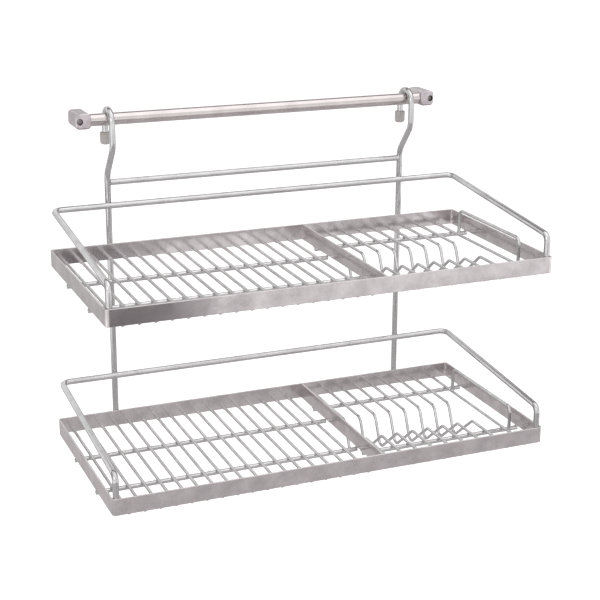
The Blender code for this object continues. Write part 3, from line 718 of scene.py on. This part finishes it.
# Welds: the guards' feet are welded to the rims' corners, and the uprights to the rims' backs and to the
# guards. Each weld is a small lump with a soft uneven skin, dressed before plating. A shelf's welds, with
# those of its wires and bars, are one piece.
GUARD_WELD_DROPS = (0.004, 0.016)
GUARD_SIDE_WELD = (0.0011, 0.0018, 0.0030)
GUARD_FRONT_WELD = (0.0018, 0.0011, 0.0030)
UPRIGHT_WELD_DROPS = (0.005, 0.0165)
UPRIGHT_WELD_ASIDE = 0.0024
UPRIGHT_WELD_BEHIND = 0.0008
UPRIGHT_RIM_WELD = (0.0014, 0.0012, 0.0034)
UPRIGHT_GUARD_WELD = (0.0036, 0.0014, 0.0030)
for shelf in ("upper_", "lower_"):
    low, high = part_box(shelf + "rim_band")
    beads = shelf_welds[shelf]
    for corner_x, away in ((low.x, 1), (high.x, -1)):
        for drop in GUARD_WELD_DROPS:
            face_x = corner_x + away * RIM_THICKNESS
            face_y = low.y + RIM_THICKNESS
            add_weld(beads, (face_x, face_y + GUARD_RADIUS, high.z - drop), GUARD_SIDE_WELD)
            add_weld(beads, (face_x + away * GUARD_RADIUS, face_y, high.z - drop), GUARD_FRONT_WELD)
    weld_y = high.y + UPRIGHT_WELD_BEHIND
    for upright_x in upright_places:
        for drop in UPRIGHT_WELD_DROPS:
            for away in (-1, 1):
                weld_x = upright_x + away * UPRIGHT_WELD_ASIDE
                add_weld(beads, (weld_x, weld_y, high.z - drop), UPRIGHT_RIM_WELD)
        add_weld(beads, (upright_x, high.y, high.z + GUARD_REAR_RISE), UPRIGHT_GUARD_WELD)
    finished_piece(shelf + "welds", beads, thick_wire_chrome, "polished_wire", "rack")

# Studio: a plain white floor a worktop's height below the rack, white air round it, a soft lamp overhead
# and one at the left front. The grey cards glow at fixed tones and are seen only by mirrors: they are painted
# reflections, since chrome needs something darker than the air to show its shape.
FLOOR_Z = -0.95
FLOOR_SIZE = 60.0
CARD_ON_FLOOR_Z = FLOOR_Z + 0.03
AIR_STRENGTH = 0.9


def seen_not_lighting(tree):
    # 1 for the rays that look, straight or by way of a mirror or glass, and 0 for those that light
    rays = add_node(tree, "ShaderNodeLightPath")
    camera_or_mirror = add_node(
        tree, "ShaderNodeMath",
        links={0: rays.outputs["Is Camera Ray"], 1: rays.outputs["Is Glossy Ray"]},
        operation="MAXIMUM",
    )
    looking = add_node(
        tree, "ShaderNodeMath",
        links={0: camera_or_mirror.outputs["Value"], 1: rays.outputs["Is Transmission Ray"]},
        operation="MAXIMUM",
    )
    return looking.outputs["Value"]


def studio_floor():
    # Matt white board, lit up a little for the eye alone, so that it is as white as the air behind it
    material, tree = bare_material("matt_white_floor")
    matt = add_node(tree, "ShaderNodeBsdfDiffuse", {"Color": linear("#f6f6f6")})
    glow = add_node(
        tree, "ShaderNodeEmission", {"Color": linear("#a8a8a8")}, {"Strength": seen_not_lighting(tree)},
    )
    both = add_node(tree, "ShaderNodeAddShader", links={0: matt.outputs["BSDF"], 1: glow.outputs["Emission"]})
    add_node(tree, "ShaderNodeOutputMaterial", links={"Surface": both.outputs["Shader"]})
    return material


def flat_panel(name, centre, towards, width, height, material):
    # A flat rectangle facing a point, part of the studio and not of the object
    bm = bmesh.new()
    corners = [(x * width / 2, y * height / 2, 0) for x, y in ((-1, -1), (1, -1), (1, 1), (-1, 1))]
    bm.faces.new([bm.verts.new(corner) for corner in corners])
    mesh = bpy.data.meshes.new(name)
    bm.to_mesh(mesh)
    bm.free()
    mesh.materials.append(material)
    panel = bpy.data.objects.new(name, mesh)
    turn = (Vector(towards) - Vector(centre)).to_track_quat("Z", "Y").to_matrix().to_4x4()
    panel.matrix_world = Matrix.Translation(centre) @ turn
    bpy.context.scene.collection.objects.link(panel)
    return panel


rack_middle = (cad_low + cad_high) / 2
flat_panel(
    "floor", (rack_middle.x, rack_middle.y, FLOOR_Z), (rack_middle.x, rack_middle.y, 0),
    FLOOR_SIZE, FLOOR_SIZE, studio_floor(),
)


def painted_reflection_card(name, tone, centre, towards, width, height):
    # A grey card that glows at a fixed tone and that only mirrors see: a painted reflection of darker
    # surroundings
    material, tree = bare_material(name)
    glow = add_node(tree, "ShaderNodeEmission", {"Color": linear(tone), "Strength": 1.0})
    add_node(tree, "ShaderNodeOutputMaterial", links={"Surface": glow.outputs["Emission"]})
    card = flat_panel(name, centre, towards, width, height, material)
    card.visible_camera = False
    card.visible_diffuse = False
    card.visible_transmission = False
    card.visible_volume_scatter = False
    card.visible_shadow = False


painted_reflection_card("card_above_back", "#8a8688", (0.6, 1.6, 2.3), (0.3, 0.0, -0.1), 6.0, 1.3)
painted_reflection_card("card_left_back", "#8c888a", (-2.1, 0.7, 0.1), (0.2, -0.1, -0.2), 1.5, 2.4)
painted_reflection_card("card_right_back", "#959193", (2.3, 0.9, 0.1), (0.3, -0.1, -0.2), 1.8, 2.4)
painted_reflection_card("card_back", "#cecccc", (0.85, 3.2, 0.0), (0.85, 0.0, 0.0), 4.3, 1.9)
painted_reflection_card("card_under", "#c8c5c6", (0.35, -0.4, CARD_ON_FLOOR_Z), (0.35, -0.4, 0.0), 3.7, 3.2)
painted_reflection_card("card_behind", "#c6c4c4", (-0.4, 2.2, CARD_ON_FLOOR_Z), (-0.4, 2.2, 0.0), 4.5, 2.0)
painted_reflection_card("card_before", "#f2f1f2", (1.3, -3.8, CARD_ON_FLOOR_Z), (1.3, -3.8, 0.0), 5.0, 3.6)
# Painted dark reflection: this dark glowing card darkens the left part of the upper rim's front strip
painted_reflection_card("card_low_front", "#747072", (0.26, -1.75, -0.74), (0.0, -0.3, -0.21), 0.58, 0.42)


def soft_lamp(name, power, centre, towards, width, height):
    # A lamp behind a wide sheet of diffusing cloth, which the camera doesn't see
    lamp = bpy.data.lights.new(name, "AREA")
    lamp.shape = "RECTANGLE"
    lamp.size = width
    lamp.size_y = height
    lamp.energy = power
    stand = bpy.data.objects.new(name, lamp)
    turn = (Vector(centre) - Vector(towards)).to_track_quat("Z", "Y").to_matrix().to_4x4()
    stand.matrix_world = Matrix.Translation(centre) @ turn
    bpy.context.scene.collection.objects.link(stand)
    stand.visible_camera = False


soft_lamp("key_lamp", 9.0, (1.0, -0.7, 2.0), (0.4, -0.25, -0.2), 2.6, 2.2)
soft_lamp("fill_lamp", 6.0, (-1.6, -2.2, 1.2), (0.25, -0.15, -0.2), 1.2, 1.2)

world = bpy.data.worlds.new("white_air")
world.use_nodes = True
bpy.context.scene.world = world
air = world.node_tree
air.nodes.clear()
lighting = add_node(air, "ShaderNodeBackground", {"Color": linear("#ffffff"), "Strength": AIR_STRENGTH})
backdrop = add_node(air, "ShaderNodeBackground", {"Color": linear("#ffffff"), "Strength": 1.0})
seen_air = add_node(
    air, "ShaderNodeMixShader",
    links={0: seen_not_lighting(air), 1: lighting.outputs["Background"], 2: backdrop.outputs["Background"]},
)
add_node(air, "ShaderNodeOutputWorld", links={"Surface": seen_air.outputs["Shader"]})
